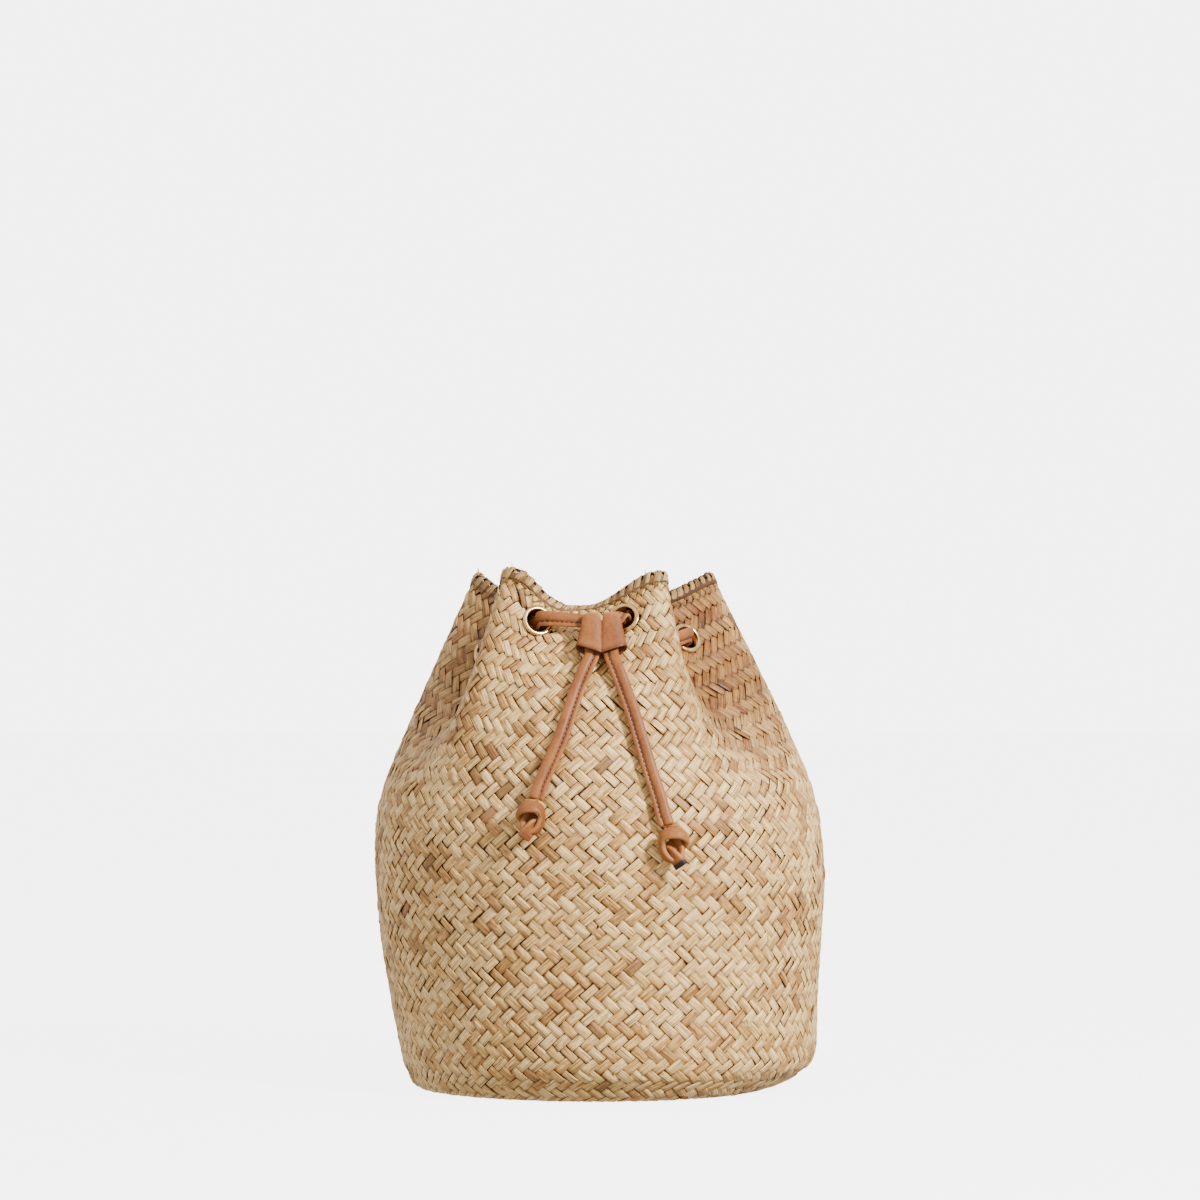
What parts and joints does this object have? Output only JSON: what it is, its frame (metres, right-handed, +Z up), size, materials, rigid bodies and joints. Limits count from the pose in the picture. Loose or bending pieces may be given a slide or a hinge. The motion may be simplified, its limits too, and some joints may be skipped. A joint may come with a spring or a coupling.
{
  "type": "woven straw drawstring backpack",
  "caption": "Soft bucket backpack of plaited straw with a gathered open mouth, drawn in by a leather cord through brass eyelets and a leather slider.",
  "frame": {"origin": "on the ground, under the middle of the bag and its shoulder straps", "axes": "+Z up to the mouth, -Y the front with the cord's knots, +X the right side seen from the front"},
  "size_m": [0.287, 0.3326, 0.3305],
  "materials": {
    "straw": "plaited flat straw, matte",
    "leather": "smooth tan leather, satin",
    "brass": "pale polished brass"
  },
  "bodies": {
    "root": {"straw_body": "straw", "eyelet_1": "brass", "eyelet_2": "brass", "eyelet_3": "brass", "eyelet_4": "brass", "eyelet_5": "brass", "eyelet_6": "brass", "eyelet_7": "brass", "eyelet_8": "brass", "eyelet_9": "brass", "eyelet_10": "brass", "eyelet_11": "brass", "eyelet_12": "brass", "drawstring": "leather", "slider": "leather", "tail_left": "leather", "tail_right": "leather", "knot_left": "leather", "knot_right": "leather", "strap_left": "leather", "strap_right": "leather"}
  },
  "joints": []
}
